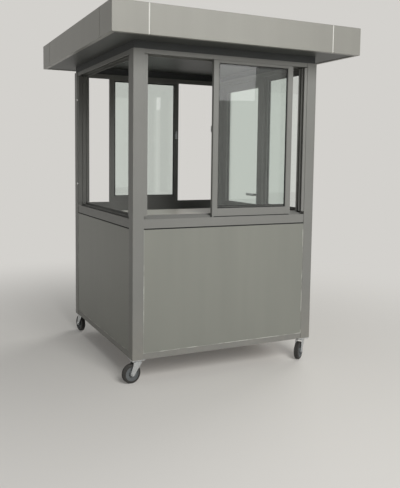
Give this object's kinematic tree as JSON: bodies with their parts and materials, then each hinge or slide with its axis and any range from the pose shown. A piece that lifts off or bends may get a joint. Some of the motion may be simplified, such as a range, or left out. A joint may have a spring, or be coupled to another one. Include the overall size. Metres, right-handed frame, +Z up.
{
  "type": "security guard booth",
  "caption": "Small square guard booth with glazed sliding windows, a side door, a deep box fascia and swivel casters.",
  "frame": {"origin": "on the floor under the middle of the booth", "axes": "+Z up, -Y the front with the desk window, +X the side with the door"},
  "size_m": [1.758, 1.758, 2.314],
  "materials": {
    "coated_aluminium": "satin powder coat, mid grey",
    "composite_panel": "satin coated aluminium composite, mid grey",
    "coated_steel": "painted steel, mid grey",
    "dark_steel": "dark primer",
    "dark_sheet": "dark grey coated sheet",
    "zinc_plated_steel": "bright zinc plate",
    "handle_metal": "satin anodised",
    "window_glass": "clear float glass, faint green",
    "floor_board": "sealed plywood",
    "desk_laminate": "pale grey laminate",
    "joint_sealant": "pale grey joint sealant",
    "glazing_rubber": "black glazing gasket and door seal",
    "fastener_steel": "bright plated screws and bolts",
    "caster_rubber": "black rubber on a moulded centre"
  },
  "bodies": {
    "booth": {"base_frame": "coated_steel", "floor_panel": "floor_board", "post_front_left": "coated_aluminium", "post_front_right": "coated_aluminium", "post_back_left": "coated_aluminium", "post_back_right": "coated_aluminium", "panel_front": "composite_panel", "panel_left": "composite_panel", "panel_back": "composite_panel", "panel_right": "composite_panel", "window_frame_front": "coated_aluminium", "window_frame_left": "coated_aluminium", "window_frame_back": "coated_aluminium", "sash_front_outer": "coated_aluminium", "sash_front_inner": "coated_aluminium", "sash_back_outer": "coated_aluminium", "sash_back_inner": "coated_aluminium", "sash_locks": "handle_metal", "glass_front": "window_glass", "glass_back": "window_glass", "glass_right": "window_glass", "light_frame_right": "coated_aluminium", "door_post": "coated_aluminium", "right_head": "coated_aluminium", "door_hinge_posts": "zinc_plated_steel", "roof_ring": "dark_steel", "soffit_ceiling": "dark_sheet", "roof_deck": "composite_panel", "fascia_front": "composite_panel", "fascia_right": "composite_panel", "fascia_back": "composite_panel", "fascia_left": "composite_panel", "fascia_corners": "composite_panel", "desk_top": "desk_laminate", "desk_brackets": "coated_steel", "caster_plates": "zinc_plated_steel"},
    "door": {"door_leaf": "coated_aluminium", "door_panel": "composite_panel", "door_glass": "window_glass", "door_hinge_flaps": "zinc_plated_steel", "door_handle": "handle_metal"},
    "fork_front_left": {"caster_fork_front_left": "zinc_plated_steel"},
    "wheel_front_left": {"caster_wheel_front_left": "caster_rubber"},
    "fork_front_right": {"caster_fork_front_right": "zinc_plated_steel"},
    "wheel_front_right": {"caster_wheel_front_right": "caster_rubber"},
    "fork_back_left": {"caster_fork_back_left": "zinc_plated_steel"},
    "wheel_back_left": {"caster_wheel_back_left": "caster_rubber"},
    "fork_back_right": {"caster_fork_back_right": "zinc_plated_steel"},
    "wheel_back_right": {"caster_wheel_back_right": "caster_rubber"}
  },
  "joints": [
    {"name": "door_hinge", "type": "hinge", "parent": "booth", "child": "door", "pos_m": [0.684, 0.5985, 1.1275], "axis": [0, 0, 1], "range_deg": [0, 100]},
    {"name": "swivel_front_left", "type": "hinge", "parent": "booth", "child": "fork_front_left", "pos_m": [-0.63, -0.63, 0.14], "axis": [0, 0, 1], "continuous": true},
    {"name": "roll_front_left", "type": "hinge", "parent": "fork_front_left", "child": "wheel_front_left", "pos_m": [-0.66939, -0.63695, 0.0625], "axis": [0.1736, -0.9848, 0], "continuous": true},
    {"name": "swivel_front_right", "type": "hinge", "parent": "booth", "child": "fork_front_right", "pos_m": [0.63, -0.63, 0.14], "axis": [0, 0, 1], "continuous": true},
    {"name": "roll_front_right", "type": "hinge", "parent": "fork_front_right", "child": "wheel_front_right", "pos_m": [0.59848, -0.65463, 0.0625], "axis": [0.6157, -0.788, 0], "continuous": true},
    {"name": "swivel_back_left", "type": "hinge", "parent": "booth", "child": "fork_back_left", "pos_m": [-0.63, 0.63, 0.14], "axis": [0, 0, 1], "continuous": true},
    {"name": "roll_back_left", "type": "hinge", "parent": "fork_back_left", "child": "wheel_back_left", "pos_m": [-0.63557, 0.66961, 0.0625], "axis": [-0.9903, -0.1392, 0], "continuous": true},
    {"name": "swivel_back_right", "type": "hinge", "parent": "booth", "child": "fork_back_right", "pos_m": [0.63, 0.63, 0.14], "axis": [0, 0, 1], "continuous": true},
    {"name": "roll_back_right", "type": "hinge", "parent": "fork_back_right", "child": "wheel_back_right", "pos_m": [0.64878, 0.66532, 0.0625], "axis": [-0.8829, 0.4695, 0], "continuous": true}
  ]
}
